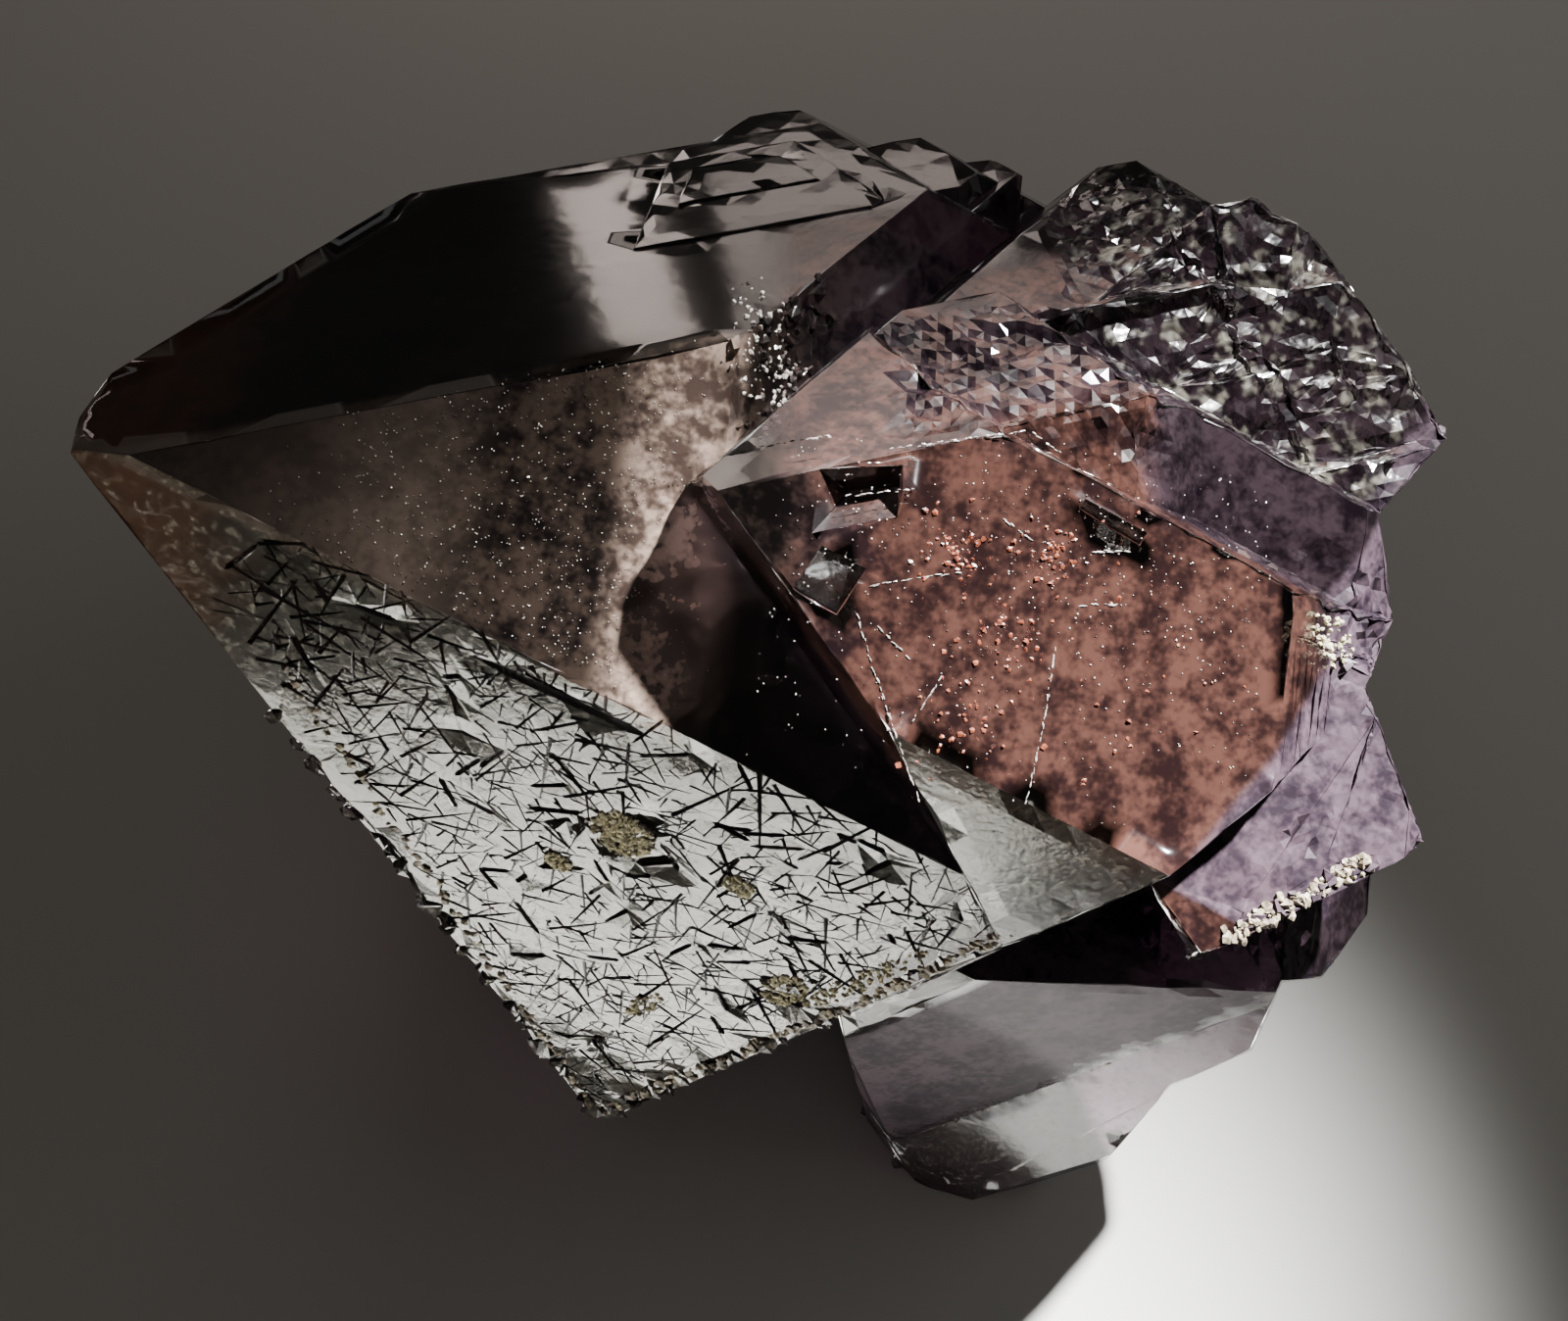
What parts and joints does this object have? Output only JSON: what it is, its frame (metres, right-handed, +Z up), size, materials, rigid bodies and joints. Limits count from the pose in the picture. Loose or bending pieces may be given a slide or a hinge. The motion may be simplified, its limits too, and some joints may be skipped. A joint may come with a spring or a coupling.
{
  "type": "amethyst point",
  "caption": "Amethyst point: a dark quartz crystal with smaller crystals in parallel growth round its lower end, cut flat below where it left the rock.",
  "frame": {"origin": "on the flat cut underneath, below the middle of the growth", "axes": "+Z up, out of the cut; -X towards the crystal's point; +Y away from the viewer"},
  "size_m": [0.0522, 0.0486, 0.0334],
  "materials": {
    "amethyst": "polished natural crystal faces, glassy"
  },
  "bodies": {
    "root": {"amethyst_cluster": "amethyst"}
  },
  "joints": []
}
